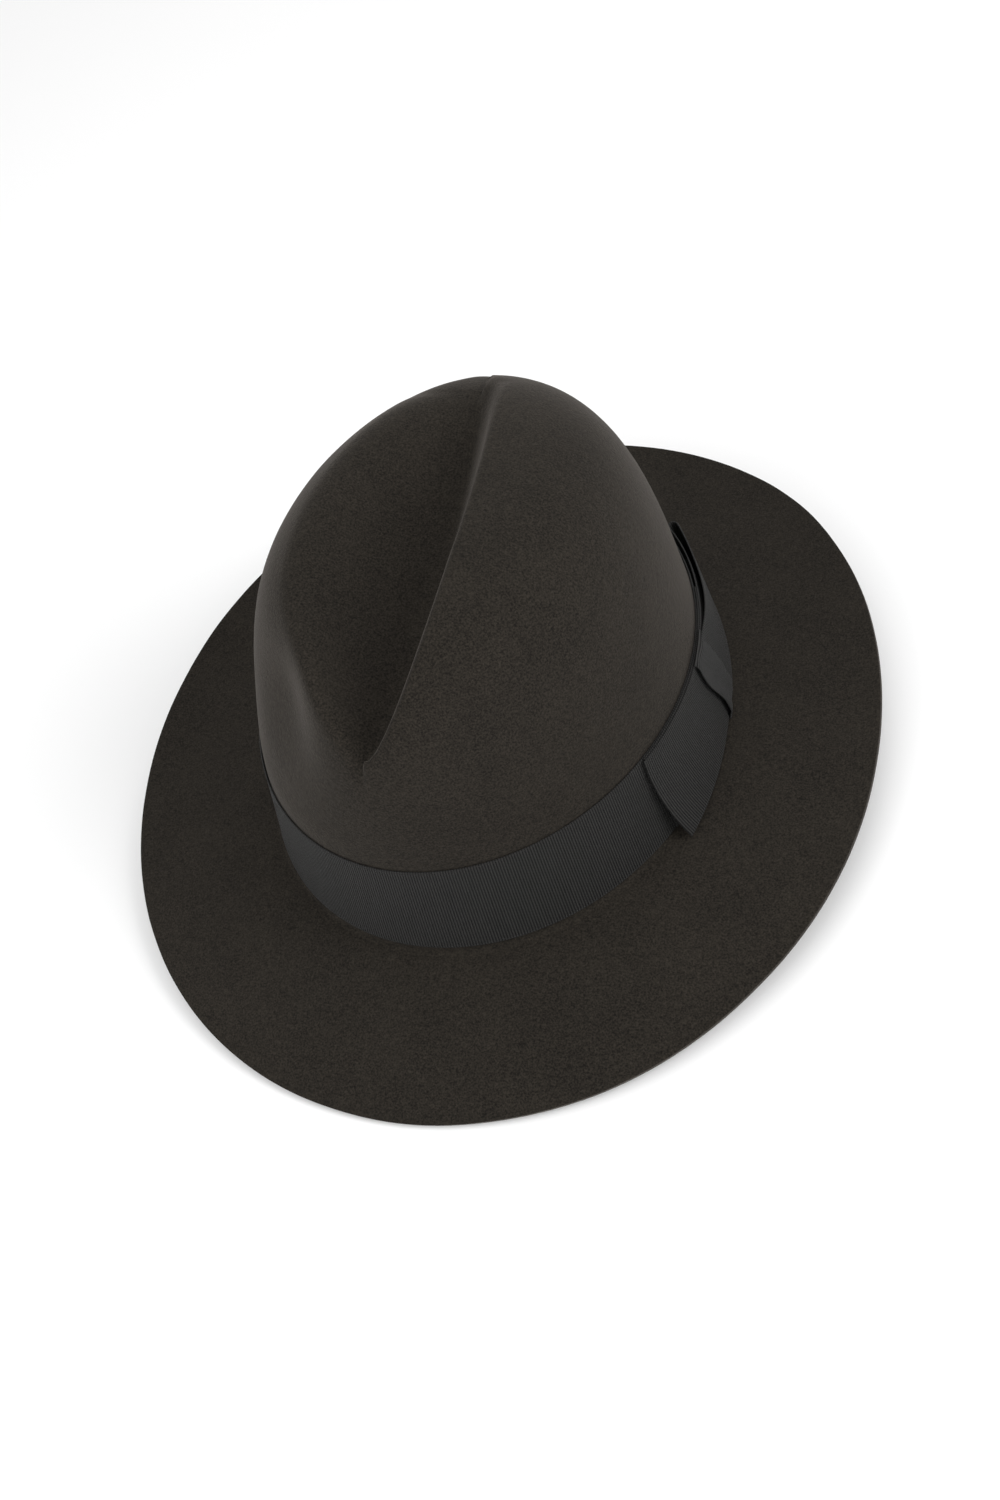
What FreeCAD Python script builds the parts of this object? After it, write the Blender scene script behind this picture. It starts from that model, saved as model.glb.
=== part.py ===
"""A soft fur-felt fedora: one blocked felt body, a grosgrain band with its bow, a leather
sweatband on a reed, and a satin lining. Millimetres, +Z up, the front of the hat towards -Y and
the wearer's left towards +X. The origin is the centre of the head opening, in the plane where
the brim meets the crown. Angles round the hat start at the front and grow to the wearer's left.
"""

import FreeCAD
import Part
import Sketcher

import math
import os

# Driving dimensions: alias, value, meaning. Lengths are in mm and angles in degrees.
SIZES = [
    ("head_length", 199.0, "inside of the sweatband, front to back"),
    ("head_width", 168.0, "inside of the sweatband, side to side"),
    ("felt_wall", 2.2, "thickness of the felt"),
    ("leather_wall", 1.0, "thickness of the sweatband leather"),
    ("seam_room", 1.1, "room between sweatband and felt"),
    ("crown_height", 130.0, "head opening to the crown's highest ridge"),
    ("side_taper", 9.0, "lean of the crown's sides"),
    ("end_taper", 8.0, "lean of the crown's front and back"),
    ("crown_lean", 4.1, "how far the crown's top leans to the wearer's left"),
    ("shoulder_rise", 5.5, "squareness of the shoulder, seen from the side"),
    ("shoulder_plan", 2.95, "squareness of the shoulder, seen from above"),
    ("front_fullness", 5.8, "how far the front of the crown's top stands out"),
    ("back_fullness", 7.5, "how far the back of the crown's top stands out"),
    ("dent_front_drop", 42.0, "crown height down to the dent's floor at its front end"),
    ("dent_back_drop", 10.5, "crown height down to the dent's floor at its back end"),
    ("dent_sag", 5.0, "sag of the floor below the line between its ends"),
    ("dent_middle", -20.0, "widest place of the dent, from the centre"),
    ("dent_front", 69.5, "widest place to the front end"),
    ("dent_back", 97.0, "widest place to the back end"),
    ("near_ridge", 22.5, "half width of the dent on the wearer's left"),
    ("far_ridge", 36.0, "half width of the dent on the wearer's right"),
    ("near_softness", 4.5, "rounding of the left ridge at the back"),
    ("near_front_softness", 10.0, "rounding of the left ridge at its front end"),
    ("far_softness", 14.0, "rounding of the right ridge"),
    ("near_pinch", 3.0, "depth of the front pinch on the wearer's left"),
    ("far_pinch", 9.0, "depth of the front pinch on the wearer's right"),
    ("pinch_drop", 42.0, "crown height down to the middle of the pinches"),
    ("pinch_reach", 24.0, "half height of a pinch"),
    ("pinch_angle", 37.0, "middle of a pinch, round from the front"),
    ("pinch_spread", 19.0, "half width of a pinch, as an angle"),
    ("pinch_fade", 12.0, "height above the sweatband in which the pinches begin"),
    ("brim_ends", 62.2, "width of the brim at front and back"),
    ("brim_sides", 59.0, "width of the brim at the sides"),
    ("brim_front_more", 0.45, "how much wider the brim is at the front than midway"),
    ("brim_quarters", 1.0, "how much wider the brim is at its front quarters"),
    ("edge_front", -17.1, "height of the brim's edge at the front"),
    ("edge_front_quarter", -10.0, "height of the edge at the front quarters"),
    ("edge_side", 2.0, "height of the edge at the sides"),
    ("edge_back_quarter", 6.2, "height of the edge at the back quarters"),
    ("edge_back", -1.5, "height of the edge at the back"),
    ("edge_left_lift", 1.0, "how much higher the edge is on the wearer's left"),
    ("brim_droop", 3.0, "how far the brim dips before it turns up at the back"),
    ("break_wave", 1.2, "how far the brim break dips at front and back"),
    ("break_radius", 2.0, "fillet between brim and crown"),
    ("ribbon_width", 38.6, "width of the grosgrain"),
    ("ribbon_wall", 0.55, "thickness of the grosgrain"),
    ("ribbon_low", 2.4, "lower edge of the band above the head opening"),
    ("ribbon_gap", 0.12, "clearance between felt and band and between layers"),
    ("lap_front", -38.0, "front end of the band's lap, along the side"),
    ("lap_back", 42.0, "back end of the band's lap, along the side"),
    ("wing_front", -41.0, "front end of the front wing, along the side"),
    ("wing_lift_low", 3.8, "how far the wing's lower front corner stands off"),
    ("wing_lift_high", 0.4, "how far the wing's upper front corner stands off"),
    ("knot_high", 3.0, "front edge of the knot at its top, along the side"),
    ("knot_low", 12.0, "front edge of the knot at its bottom, along the side"),
    ("knot_width", 17.0, "width of the knot"),
    ("knot_tuck", 7.0, "how far wing and loop reach in under the knot"),
    ("loop_back", 73.5, "back end of the rear loop, along the side"),
    ("loop_stand", 3.2, "how far the rear loop opens"),
    ("band_depth", 42.0, "height of the sweatband"),
    ("band_low", 1.0, "lower edge of the sweatband above the head opening"),
    ("band_split", 2.0, "gap between the sweatband's ends at the back"),
    ("reed_radius", 0.7, "radius of the plastic reed"),
    ("welt_wall", 0.3, "thickness of the cloth welt round the reed"),
    ("welt_gap", 0.1, "clearance between reed, welt and leather"),
    ("thread_radius", 0.3, "radius of the sewing thread"),
    ("thread_z", 3.2, "height of the seam above the sweatband's lower edge"),
    ("lining_low", 28.0, "lower edge of the lining, behind the sweatband"),
    ("lining_wall", 0.3, "thickness of the satin"),
    ("lining_gap", 0.5, "clearance between felt and lining"),
    ("lining_ease", 3.0, "clearance between the pinched crown and the top of the lining"),
    ("tip_drop", 50.0, "crown height down to the seam between side lining and tip lining"),
    ("piping_radius", 0.8, "radius of the piping in that seam"),
    ("shield_length", 104.0, "clear tip shield, front to back"),
    ("shield_width", 78.0, "clear tip shield, side to side"),
    ("shield_round", 14.0, "rounding of the shield's corners"),
    ("shield_wall", 0.25, "thickness of the clear shield"),
    ("bow_span", 26.0, "span of the small bow inside, at the back"),
    ("bow_height", 12.0, "height of the small bow inside"),
    ("bow_waist", 4.0, "height of the small bow at its middle"),
    ("bow_wall", 1.2, "thickness of the small bow"),
    ("bow_z", 20.0, "height of the small bow's middle"),
]
RING_POINTS = 72
BRIM_ROWS = [1.0, 0.96, 0.88, 0.76, 0.62, 0.48, 0.34, 0.21, 0.11]
FILLET_ROWS = [0.0, 22.5, 45.0, 67.5, 90.0]
WALL_ROWS = [8.0, 15.0, 22.0, 29.0, 36.0, 43.0, 50.0, 57.0, 64.0, 71.0]
TOP_ROWS = [0.98, 0.96, 0.93, 0.89, 0.84, 0.78, 0.72, 0.66, 0.60, 0.54, 0.48, 0.42,
            0.36, 0.30, 0.24, 0.18, 0.12, 0.07]

doc = FreeCAD.newDocument("Fedora")
sheet = doc.addObject("Spreadsheet::Sheet", "Sizes")
for row, (alias, amount, meaning) in enumerate(SIZES, start=1):
    sheet.set("A%d" % row, str(amount))
    sheet.set("B%d" % row, meaning)
    sheet.setAlias("A%d" % row, alias)
doc.recompute()
size = {alias: float(sheet.get(alias)) for alias, amount, meaning in SIZES}

# What follows from the driving sizes.
felt_inset = size["leather_wall"] + size["seam_room"]
inner_x = size["head_width"] / 2 + felt_inset
inner_y = size["head_length"] / 2 + felt_inset
crown_x = inner_x + size["felt_wall"]
crown_y = inner_y + size["felt_wall"]
side_lean = math.tan(math.radians(size["side_taper"]))
end_lean = math.tan(math.radians(size["end_taper"]))
ribbon_top = size["ribbon_low"] + size["ribbon_width"]
layer = size["ribbon_wall"] + size["ribbon_gap"]
dent_front_z = size["crown_height"] - size["dent_front_drop"]
dent_back_z = size["crown_height"] - size["dent_back_drop"]
pinch_z = size["crown_height"] - size["pinch_drop"]
pinch_foot = size["band_low"] + size["band_depth"] + 1.0


def blend(low, high, value):
    """A smooth step from 0 at low to 1 at high."""
    part = min(1.0, max(0.0, (value - low) / (high - low)))
    return part * part * (3 - 2 * part)


def soft_min(first, second, softness):
    """The smaller of two heights, with the crossing rounded."""
    overlap = max(softness - abs(first - second), 0.0) / softness
    return min(first, second) - overlap * overlap * softness / 4


def cosine_series(stations, angle):
    """A height round the hat that passes through evenly spaced stations from front to back."""
    count = len(stations) - 1
    total = 0.0
    for wave in range(count + 1):
        weight = 0.0
        for index, height in enumerate(stations):
            end = 0.5 if index in (0, count) else 1.0
            weight += end * height * math.cos(math.pi * index * wave / count)
        total += (0.5 if wave in (0, count) else 1.0) * weight * math.cos(wave * angle)
    return total * 2 / count


def brim_edge_z(angle):
    stations = [size["edge_front"], size["edge_front_quarter"], size["edge_side"],
                size["edge_back_quarter"], size["edge_back"]]
    return cosine_series(stations, angle) + size["edge_left_lift"] * math.sin(angle)


def break_z(angle):
    return -size["break_wave"] * math.cos(2 * angle)


def outward(angle):
    """The level direction square to the crown's oval."""
    across = math.sin(angle) / crown_x
    along = -math.cos(angle) / crown_y
    length = math.hypot(across, along)
    return across / length, along / length


def brim_point(angle, share):
    """A point on the brim's upper face, share 0 at the break and 1 at the edge."""
    middle = (size["brim_ends"] + size["brim_sides"]) / 2
    swing = (size["brim_ends"] - size["brim_sides"]) / 2
    width = middle + swing * math.cos(2 * angle) + size["brim_front_more"] * math.cos(angle)
    width -= size["brim_quarters"] * math.cos(3 * angle)
    rise = brim_edge_z(angle) - break_z(angle)
    level = math.sqrt(width * width - rise * rise)
    droop = size["brim_droop"] * math.sin(angle / 2) ** 2
    height = break_z(angle) + rise * share ** 1.5 - droop * 4 * share * (1 - share)
    across, along = outward(angle)
    return FreeCAD.Vector(crown_x * math.sin(angle) + across * level * share,
                          -crown_y * math.cos(angle) + along * level * share, height)


def fillet_point(angle, turn):
    """A point on the fillet between brim and crown, turn 0 at the brim and 90 at the crown."""
    radius = size["break_radius"]
    out = radius * (1 - math.sin(math.radians(turn)))
    up = radius * (1 - math.cos(math.radians(turn)))
    across, along = outward(angle)
    height = break_z(angle) + up
    half_x = crown_x - height * side_lean
    half_y = crown_y - height * end_lean
    return FreeCAD.Vector(half_x * math.sin(angle) + across * out,
                          -half_y * math.cos(angle) + along * out, height)


def crown_share(height):
    """How far a height is up the open crown, 0 at the ribbon's top and 1 at the highest ridge."""
    return min(max((height - ribbon_top) / (size["crown_height"] - ribbon_top), 0.0), 1.0)


def fullness(angle, height):
    """How far the front or back of the crown stands out at an angle and height."""
    ahead = math.cos(angle)
    amount = size["front_fullness"] if ahead > 0 else -size["back_fullness"]
    return amount * ahead * ahead * crown_share(height)


def dome_point(angle, height, shrink):
    """A point on the open crown before it is creased."""
    half_x = crown_x - height * side_lean
    half_y = crown_y - height * end_lean
    lean = size["crown_lean"] * crown_share(height) * blend(0.0, 0.6, shrink)
    across = half_x * shrink * math.sin(angle) + lean
    return across, -(half_y * math.cos(angle) + fullness(angle, height)) * shrink


def dent_plan(along, power, root):
    """How wide the dent still is at a place along the crown, as a share of its widest."""
    step = along - size["dent_middle"]
    reach = size["dent_back"] if step > 0 else size["dent_front"]
    share = min(abs(step) / reach, 1.0)
    return max((1 - share ** power) ** root, 0.06)


def dome_height(across, along):
    """Height of the open crown above a place in plan."""
    height = size["crown_height"] * 0.9
    for turn in range(8):
        half_x = crown_x - height * side_lean
        half_y = crown_y - height * end_lean
        sideways = (across - size["crown_lean"] * crown_share(height)) / half_x
        half_y += abs(fullness(math.atan2(sideways, -along / half_y), height))
        shrink = min(math.hypot(sideways, along / half_y), 0.999)
        rest = 1 - shrink ** size["shoulder_plan"]
        height = size["crown_height"] * rest ** (1 / size["shoulder_rise"])
    return height


def dent_surface(across, along):
    """Height of the centre dent's trough, and how softly it meets the crown there."""
    front = size["dent_middle"] - size["dent_front"]
    back = size["dent_middle"] + size["dent_back"] * 0.86
    share = min(max((along - front) / (back - front), 0.0), 1.0)
    floor = dent_front_z + (dent_back_z - dent_front_z) * share
    floor -= size["dent_sag"] * 4 * share * (1 - share)
    behind = along > size["dent_middle"]
    near = size["near_ridge"] * dent_plan(along, 1.3 if behind else 3.0, 0.45 if behind else 0.5)
    far = size["far_ridge"] * dent_plan(along, 2.0, 0.8)
    deepest = 0.3 * near
    if across > deepest:
        rim = dome_height(near, along)
        rise = ((across - deepest) / (near - deepest)) ** 1.5
        softer = size["near_front_softness"] - size["near_softness"]
        softer *= 1 - blend(front, size["dent_middle"] + size["near_ridge"], along)
        return floor + max(rim + 1 - floor, 2.0) * rise, size["near_softness"] + softer
    rim = dome_height(-far, along)
    rise = ((deepest - across) / (deepest + far)) ** 1.7
    return floor + max(rim + 1 - floor, 2.0) * rise, size["far_softness"]


def pinch_depth(angle, height):
    """How far a front pinch presses the crown in at an angle and height."""
    up = math.exp(-((height - pinch_z) / size["pinch_reach"]) ** 2)
    up *= blend(pinch_foot, pinch_foot + size["pinch_fade"], height)
    depth = 0.0
    for side, amount in ((1, size["near_pinch"]), (-1, size["far_pinch"])):
        turn = math.degrees(angle) * side - size["pinch_angle"]
        depth += amount * math.exp(-(turn / size["pinch_spread"]) ** 2)
    return depth * up


def crown_point(angle, height, shrink):
    """A point on the creased crown's outer face."""
    across, along = dome_point(angle, height, shrink)
    out_x, out_y = outward(angle)
    press = pinch_depth(angle, height) * blend(0.35, 0.95, shrink)
    across -= out_x * press
    along -= out_y * press
    if height > pinch_z - size["pinch_reach"]:
        trough, softness = dent_surface(across, along)
        height = soft_min(height, trough, softness)
    return FreeCAD.Vector(across, along, height)


def outer_point(angle, row):
    """The felt's upper and outer face, from the brim's edge (row 0) to the middle of the dent."""
    if row < len(BRIM_ROWS):
        return brim_point(angle, BRIM_ROWS[row])
    row -= len(BRIM_ROWS)
    if row < len(FILLET_ROWS):
        return fillet_point(angle, FILLET_ROWS[row])
    row -= len(FILLET_ROWS)
    if row < len(WALL_ROWS):
        height = WALL_ROWS[row] * size["crown_height"] / 130.0
        share = (height / size["crown_height"]) ** size["shoulder_rise"]
        return crown_point(angle, height, (1 - share) ** (1 / size["shoulder_plan"]))
    shrink = TOP_ROWS[row - len(WALL_ROWS)]
    rest = 1 - shrink ** size["shoulder_plan"]
    height = size["crown_height"] * rest ** (1 / size["shoulder_rise"])
    return crown_point(angle, height, shrink)


ROWS = len(BRIM_ROWS) + len(FILLET_ROWS) + len(WALL_ROWS) + len(TOP_ROWS)


def felt_grids():
    """Points of the outer face and of the inner face, one wall thickness behind it."""
    outer = []
    for row in range(ROWS):
        ring = [outer_point(math.radians(step * 360.0 / RING_POINTS - 180.0), row)
                for step in range(RING_POINTS)]
        outer.append(ring)
    centre = FreeCAD.Vector(0, 0, 0)
    for point in outer[-1]:
        centre += point * (1.0 / RING_POINTS)
    for point in outer[-1]:
        point.z = centre.z
    inner = []
    for row in range(ROWS):
        ring = []
        for step in range(RING_POINTS):
            here = outer[row][step]
            round_way = outer[row][(step + 1) % RING_POINTS] - outer[row][step - 1]
            up_way = outer[min(row + 1, ROWS - 1)][step] - outer[max(row - 1, 0)][step]
            normal = round_way.cross(up_way)
            normal.normalize()
            ring.append(here - normal * size["felt_wall"])
        inner.append(ring)
    for point in inner[-1]:
        point.z = centre.z - size["felt_wall"]
    return outer, inner


def skin(grid):
    """A smooth surface shaped by rings of points, closed round the hat."""
    rows, count = len(grid), RING_POINTS
    surface = Part.BSplineSurface()
    surface.buildFromPolesMultsKnots(
        grid, [4] + [1] * (rows - 4) + [4], [1] * (count + 1),
        [float(row) for row in range(rows - 2)], [float(step) for step in range(count + 1)],
        False, True, 3, 3)
    return surface


def closed_solid(faces):
    shell = Part.Shell(faces)
    shell.sewShape()
    solid = Part.Solid(shell)
    if solid.Volume < 0:
        solid.reverse()
    return solid


def felt_shape():
    outer, inner = [skin(grid) for grid in felt_grids()]
    faces = [outer.toShape(), inner.toShape()]
    last = float(ROWS - 3)
    edges = [surface.uIso(0.0).toShape() for surface in (outer, inner)]
    faces.append(Part.makeRuledSurface(edges[0], edges[1]))
    for surface in (outer, inner):
        faces.append(Part.Face(Part.Wire(surface.uIso(last).toShape())))
    return closed_solid(faces)


pieces = []


def keep(item, label):
    """Give a sub-part the label that names its file."""
    item.Label = label
    pieces.append(item)
    return item


felt = doc.addObject("Part::Feature", "Felt")
felt.Shape = felt_shape()
felt.Placement = FreeCAD.Placement()
keep(felt, "felt_body")

# Expressions for the crown's oval: half width and half length where the brim meets the crown.
HALF_X = "(Sizes.head_width / 2 + Sizes.leather_wall + Sizes.seam_room + Sizes.felt_wall)"
HALF_Y = "(Sizes.head_length / 2 + Sizes.leather_wall + Sizes.seam_room + Sizes.felt_wall)"
WIDE = "Sizes.head_width > Sizes.head_length"
TOP = "(Sizes.ribbon_low + Sizes.ribbon_width)"
LAYER = "(Sizes.ribbon_wall + Sizes.ribbon_gap)"
IN_LEATHER = "(Sizes.felt_wall + Sizes.seam_room)"
BAND_TOP = "(Sizes.band_low + Sizes.band_depth)"


def reach(half, lean, offset, height):
    """Expression for a half axis of the crown's oval at an offset and height."""
    return "%s + (%s) - (%s) * tan(Sizes.%s * 1deg)" % (half, offset, height, lean)


def oval(name, offset, height):
    """The crown's oval at a height, moved out by an offset. Its long axis lies along the longer
    side of the head."""
    item = doc.addObject("Part::Ellipse", name)
    across = reach(HALF_X, "side_taper", offset, height)
    along = reach(HALF_Y, "end_taper", offset, height)
    item.setExpression("MajorRadius", "max(%s; %s)" % (across, along))
    item.setExpression("MinorRadius", "min(%s; %s)" % (across, along))
    item.setExpression("Placement.Rotation.Angle", WIDE + " ? 0deg : 90deg")
    item.setExpression("Placement.Base.z", height)
    return item


def cone(name, levels):
    """A solid oval cone through levels, each an offset from the crown and a height."""
    item = doc.addObject("Part::Loft", name)
    item.Sections = [oval("%sOval%d" % (name, index), offset, height)
                     for index, (offset, height) in enumerate(levels)]
    item.Solid = True
    item.Ruled = True
    return item


def cut(name, base, tool):
    item = doc.addObject("Part::Cut", name)
    item.Base = base
    item.Tool = tool
    return item


def common(name, base, tool):
    item = doc.addObject("Part::Common", name)
    item.Base = base
    item.Tool = tool
    return item


def wall_band(name, inner, outer, low, high):
    """A band that lies against the crown between two offsets and two heights."""
    return cut(name, cone(name + "Out", [(outer, low), (outer, high)]),
               cone(name + "In", [(inner, "%s - 1" % low), (inner, "%s + 1" % high)]))


def block(name, across, along, up):
    """A box from three pairs of expressions, each a start and an end."""
    item = doc.addObject("Part::Box", name)
    for axis, side, (start, end) in (("x", "Length", across), ("y", "Width", along),
                                     ("z", "Height", up)):
        item.setExpression(side, "(%s) - (%s)" % (end, start))
        item.setExpression("Placement.Base." + axis, start)
    return item


def bead(name, offset, height, radius):
    """A round cord laid along the crown's oval."""
    path = oval(name + "Path", offset, height)
    ring = doc.addObject("Part::Circle", name + "Ring")
    ring.setExpression("Radius", radius)
    across = reach(HALF_X, "side_taper", offset, height)
    along = reach(HALF_Y, "end_taper", offset, height)
    ring.setExpression("Placement.Base.x", "%s ? (%s) : 0" % (WIDE, across))
    ring.setExpression("Placement.Base.y", "%s ? 0 : (%s)" % (WIDE, along))
    ring.setExpression("Placement.Base.z", height)
    ring.setExpression("Placement.Rotation.Angle", "90deg")
    ring.setExpression("Placement.Rotation.Axis.x", WIDE + " ? 1 : 0")
    ring.setExpression("Placement.Rotation.Axis.y", WIDE + " ? 0 : 1")
    ring.setExpression("Placement.Rotation.Axis.z", "0")
    sweep = doc.addObject("Part::Sweep", name)
    sweep.Sections = [ring]
    sweep.Spine = (path, ["Edge1"])
    sweep.Solid = True
    sweep.Frenet = True
    return sweep


def bind_polygon(sketch, corners):
    """Draw a closed polygon whose corners are bound to the sheet. Each corner is two expressions
    and the two numbers they start from."""
    count = len(corners)
    for index in range(count):
        here = corners[index]
        there = corners[(index + 1) % count]
        sketch.addGeometry(Part.LineSegment(FreeCAD.Vector(here[2], here[3], 0),
                                            FreeCAD.Vector(there[2], there[3], 0)))
    for index in range(count):
        sketch.addConstraint(Sketcher.Constraint("Coincident", index, 2, (index + 1) % count, 1))
    for index, (along, up, start_along, start_up) in enumerate(corners):
        for kind, rule, start in (("DistanceX", along, start_along), ("DistanceY", up, start_up)):
            label = "corner%d%s" % (index, kind[-1])
            number = sketch.addConstraint(Sketcher.Constraint(kind, -1, 1, index, 1, start))
            sketch.renameConstraint(number, label)
            sketch.setExpression("Constraints." + label, rule)


def plate(name, role, corners, wall):
    """A body with one padded outline on one of its own planes."""
    body = doc.addObject("PartDesign::Body", name)
    plane = [item for item in body.Origin.OriginFeatures if item.Role == role][0]
    sketch = body.newObject("Sketcher::SketchObject", name + "Outline")
    sketch.AttachmentSupport = (plane, "")
    sketch.MapMode = "FlatFace"
    bind_polygon(sketch, corners)
    pad = body.newObject("PartDesign::Pad", name + "Pad")
    pad.Profile = sketch
    pad.setExpression("Length", wall)
    doc.recompute()
    return body


# The band and the flat lap of its end.
keep(wall_band("Band", "Sizes.ribbon_gap", LAYER, "Sizes.ribbon_low", TOP), "ribbon_band")
lap_ring = wall_band("LapRing", LAYER + " + Sizes.ribbon_gap", LAYER + " * 2",
                     "Sizes.ribbon_low", TOP)
lap_cut = block("LapCut", ("0", HALF_X + " * 2"), ("Sizes.lap_front", "Sizes.lap_back"),
                ("Sizes.ribbon_low - 5", TOP + " + 5"))
keep(common("Lap", lap_ring, lap_cut), "bow_lap")


# The knot is a sleeve: it passes over wing and loop and back under them.
knot_body = cone("KnotBody", [(LAYER + " * 6", "Sizes.ribbon_low - " + LAYER),
                              (LAYER + " * 6", TOP + " + " + LAYER)])
knot_back = cone("KnotBack", [(LAYER + " * 2 + Sizes.ribbon_gap", "Sizes.ribbon_low - 5"),
                              (LAYER + " * 2 + Sizes.ribbon_gap", TOP + " + 5")])
room_body = cone("RoomBody", [(LAYER + " * 5 + Sizes.ribbon_gap",
                               "Sizes.ribbon_low - Sizes.ribbon_gap"),
                              (LAYER + " * 5 + Sizes.ribbon_gap", TOP + " + Sizes.ribbon_gap")])
room_back = cone("RoomBack", [(LAYER + " * 3", "Sizes.ribbon_low - 6"),
                              (LAYER + " * 3", TOP + " + 6")])
sleeve = cut("KnotSleeve", cut("KnotRing", knot_body, knot_back),
             cut("KnotRoom", room_body, room_back))

slant = doc.addObject("Sketcher::SketchObject", "KnotOutline")
slant.Placement = FreeCAD.Placement(FreeCAD.Vector(0, 0, 0),
                                    FreeCAD.Rotation(FreeCAD.Vector(1, 1, 1), 120))
bind_polygon(slant, [
    ("Sizes.knot_low", "Sizes.ribbon_low - 6", 12.0, -4.0),
    ("Sizes.knot_low + Sizes.knot_width", "Sizes.ribbon_low - 6", 29.0, -4.0),
    ("Sizes.knot_high + Sizes.knot_width", TOP + " + 6", 20.0, 47.0),
    ("Sizes.knot_high", TOP + " + 6", 3.0, 47.0)])
knot_prism = doc.addObject("Part::Extrusion", "KnotPrism")
knot_prism.Base = slant
knot_prism.DirMode = "Custom"
knot_prism.Dir = FreeCAD.Vector(1, 0, 0)
knot_prism.setExpression("LengthFwd", HALF_X + " * 2")
knot_prism.Solid = True
keep(common("Knot", sleeve, knot_prism), "bow_knot")


def side_point(along, height, offset):
    """A place beside the crown on the wearer's left, given how far along the side it is."""
    half_x = crown_x - height * side_lean
    half_y = crown_y - height * end_lean
    angle = math.acos(max(-0.99, min(0.99, -along / half_y)))
    across, forward = outward(angle)
    return FreeCAD.Vector(half_x * math.sin(angle) + across * offset,
                          -half_y * math.cos(angle) + forward * offset, height)


def strip_shape(low_path, high_path, low, high, wall):
    """A ribbon on edge: a path along its lower edge and one along its upper edge, each a list of
    places along the side and offsets of the ribbon's middle."""
    rails = []
    for path, height, order in ((low_path, low, (-1, 1)), (high_path, high, (1, -1))):
        middle = [side_point(along, height, offset) for along, offset in path]
        squares = []
        for index in range(len(middle)):
            way = middle[min(index + 1, len(middle) - 1)] - middle[max(index - 1, 0)]
            square = FreeCAD.Vector(way.y, -way.x, 0)
            square.normalize()
            squares.append(square)
        for side in order:
            rails.append([point + square * (side * wall / 2)
                          for point, square in zip(middle, squares)])
    spacing = [0.0]
    for before, after in zip(rails[0], rails[0][1:]):
        spacing.append(spacing[-1] + (after - before).Length)
    edges = []
    for rail in rails:
        curve = Part.BSplineCurve()
        curve.interpolate(Points=rail, Parameters=spacing)
        edges.append(curve.toShape())
    faces = [Part.makeRuledSurface(edges[side], edges[(side + 1) % 4], 1) for side in range(4)]
    for end in (0, -1):
        low_end = Part.LineSegment(rails[0][end], rails[1][end]).toShape()
        high_end = Part.LineSegment(rails[3][end], rails[2][end]).toShape()
        faces.append(Part.makeRuledSurface(low_end, high_end, 1))
    return closed_solid([face for piece in faces for face in piece.Faces])


def share_of(start, end, count):
    return [start + (end - start) * step / (count - 1) for step in range(count)]


def knot_edge(height):
    """Front edge of the knot at a height."""
    share = (height - (size["ribbon_low"] - 6)) / (size["ribbon_width"] + 12)
    return size["knot_low"] + (size["knot_high"] - size["knot_low"]) * share


# The front wing: held by the knot at its back, its front end free and standing off.
wing_paths = []
for height, lift in ((size["ribbon_low"], size["wing_lift_low"]),
                     (ribbon_top, size["wing_lift_high"])):
    end = knot_edge(height) + size["knot_tuck"]
    path = []
    for along in share_of(size["wing_front"], end, 16):
        rise = blend(knot_edge(height), size["wing_front"] * 1.4, along)
        path.append((along, layer * 3 + size["ribbon_gap"] + size["ribbon_wall"] / 2
                     + lift * 1.2 * rise))
    wing_paths.append(path)
wing = doc.addObject("Part::Feature", "Wing")
wing.Shape = strip_shape(wing_paths[0], wing_paths[1], size["ribbon_low"], ribbon_top,
                         size["ribbon_wall"])
wing.Placement = FreeCAD.Placement()
keep(wing, "bow_front_wing")

# The rear loop: out along the band, round its end and back to the knot, open above and below.
loop_paths = []
for height in (size["ribbon_low"], ribbon_top):
    start = knot_edge(height) + size["knot_width"] - size["knot_tuck"]
    hold = knot_edge(height) + size["knot_width"] + 3
    inside = layer * 3 + size["ribbon_gap"] + size["ribbon_wall"] / 2
    radius = (layer + size["loop_stand"]) / 2
    turn = size["loop_back"] - radius
    path = [(along, inside) for along in share_of(start, turn, 12)]
    for degrees in (22.5, 45.0, 67.5, 90.0, 112.5, 135.0, 157.5):
        tilt = math.radians(degrees)
        path.append((turn + radius * math.sin(tilt), inside + radius * (1 - math.cos(tilt))))
    for along in share_of(turn, start, 14):
        path.append((along, inside + layer + size["loop_stand"] * blend(hold, turn, along)))
    loop_paths.append(path)
loop = doc.addObject("Part::Feature", "Loop")
loop.Shape = strip_shape(loop_paths[0], loop_paths[1], size["ribbon_low"], ribbon_top,
                         size["ribbon_wall"])
loop.Placement = FreeCAD.Placement()
keep(loop, "bow_rear_loop")

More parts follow.
